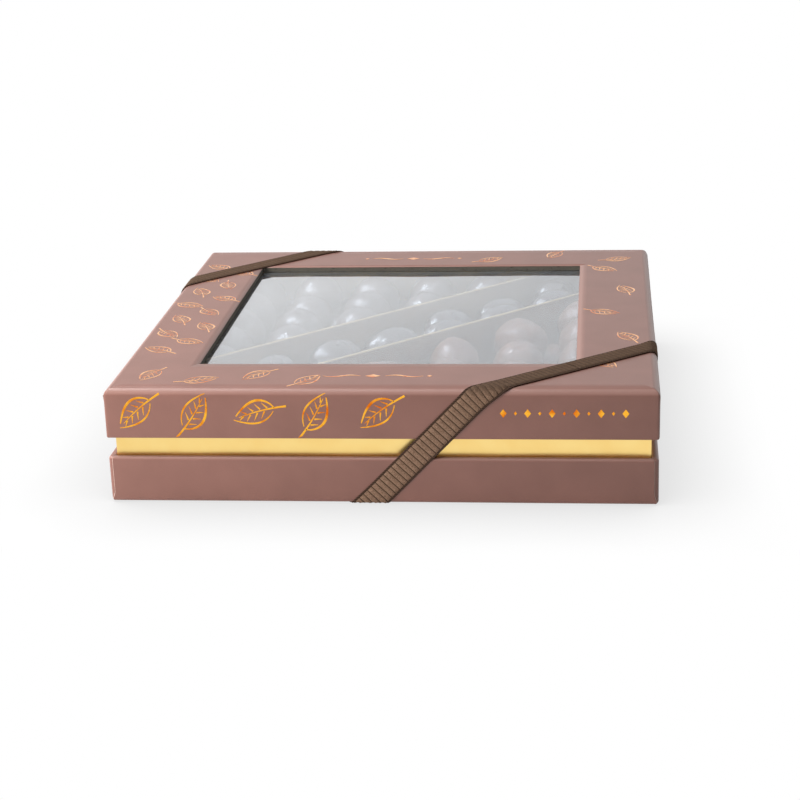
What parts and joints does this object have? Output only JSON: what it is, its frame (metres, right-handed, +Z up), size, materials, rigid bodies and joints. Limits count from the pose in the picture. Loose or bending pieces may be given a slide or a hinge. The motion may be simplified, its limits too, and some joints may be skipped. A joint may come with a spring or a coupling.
{
  "type": "chocolate box",
  "caption": "Square rigid gift box with a windowed lift-off lid, gold collar, diagonal dividers, coated chocolates and an elastic ribbon at 45 degrees.",
  "frame": {"origin": "on the ground under the middle of the box; the box stands on the ribbon's underside", "axes": "+Z up, -Y towards the front, +X to the right"},
  "size_m": [0.1862, 0.1868, 0.0412],
  "materials": {
    "wrap_paper": "matte",
    "lid_board": "matte",
    "base_board": "matte",
    "stay_tape": "matte",
    "clear_film": "gloss",
    "adhesive_tape": "satin",
    "lining_paper": "matte",
    "gold_card": "satin",
    "divider_card": "satin",
    "floor_paper": "satin",
    "dark_chocolate": "gloss",
    "almond_chocolate": "gloss",
    "milk_chocolate": "matte",
    "ribbon": "matte"
  },
  "bodies": {
    "base": {"almond_chocolates_lower": "almond_chocolate", "almond_chocolates_upper": "almond_chocolate", "base_board": "base_board", "base_stay_back_left": "stay_tape", "base_stay_back_right": "stay_tape", "base_stay_front_left": "stay_tape", "base_stay_front_right": "stay_tape", "base_wrap": "wrap_paper", "collar_back": "gold_card", "collar_front": "gold_card", "collar_left": "gold_card", "collar_right": "gold_card", "divider_back_left": "divider_card", "divider_front_right": "divider_card", "floor_liner": "floor_paper", "milk_chocolates_lower": "milk_chocolate", "milk_chocolates_upper": "milk_chocolate", "ribbon_lap": "ribbon", "ribbon_loop": "ribbon", "round_chocolates_lower": "dark_chocolate", "round_chocolates_upper": "dark_chocolate"},
    "lid": {"lid_board": "lid_board", "lid_lining": "lining_paper", "lid_stay_back_left": "stay_tape", "lid_stay_back_right": "stay_tape", "lid_stay_front_left": "stay_tape", "lid_stay_front_right": "stay_tape", "lid_wrap": "wrap_paper", "window_film": "clear_film", "window_tape_back": "adhesive_tape", "window_tape_front": "adhesive_tape", "window_tape_left": "adhesive_tape", "window_tape_right": "adhesive_tape"}
  },
  "joints": [
    {"name": "lid_lift", "type": "slide", "parent": "base", "child": "lid", "axis": [0, 0, 1], "range_m": [0, 0.045], "deforming": ["ribbon_loop"]}
  ]
}
